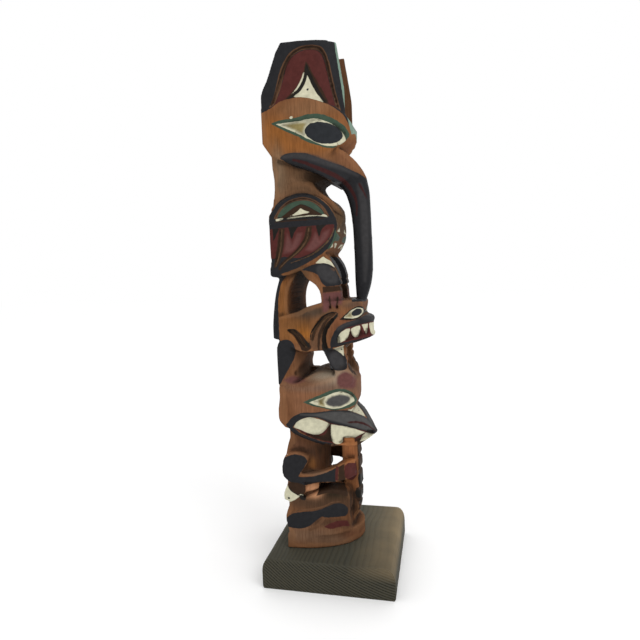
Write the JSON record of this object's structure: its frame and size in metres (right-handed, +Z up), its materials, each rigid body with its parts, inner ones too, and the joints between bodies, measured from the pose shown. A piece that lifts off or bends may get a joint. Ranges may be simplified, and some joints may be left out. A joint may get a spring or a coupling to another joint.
{
  "type": "totem pole",
  "caption": "Carved and painted wooden model totem pole of stacked bird, wolf and crouching staff-holder figures, standing on a rounded wooden block.",
  "frame": {"origin": "middle of the underside of the wooden block, which the statue stands on", "axes": "+Z up along the pole; +X the way the three figures face, where the beaks point; Y across the figures"},
  "size_m": [0.14, 0.14, 0.5649],
  "materials": {
    "painted_cedar": "carved cedar with matt and satin paint, hand brushed",
    "stained_fir": "planed softwood board with a dark weathered stain"
  },
  "bodies": {
    "root": {"carved_pole": "painted_cedar", "base_block": "stained_fir"}
  },
  "joints": []
}
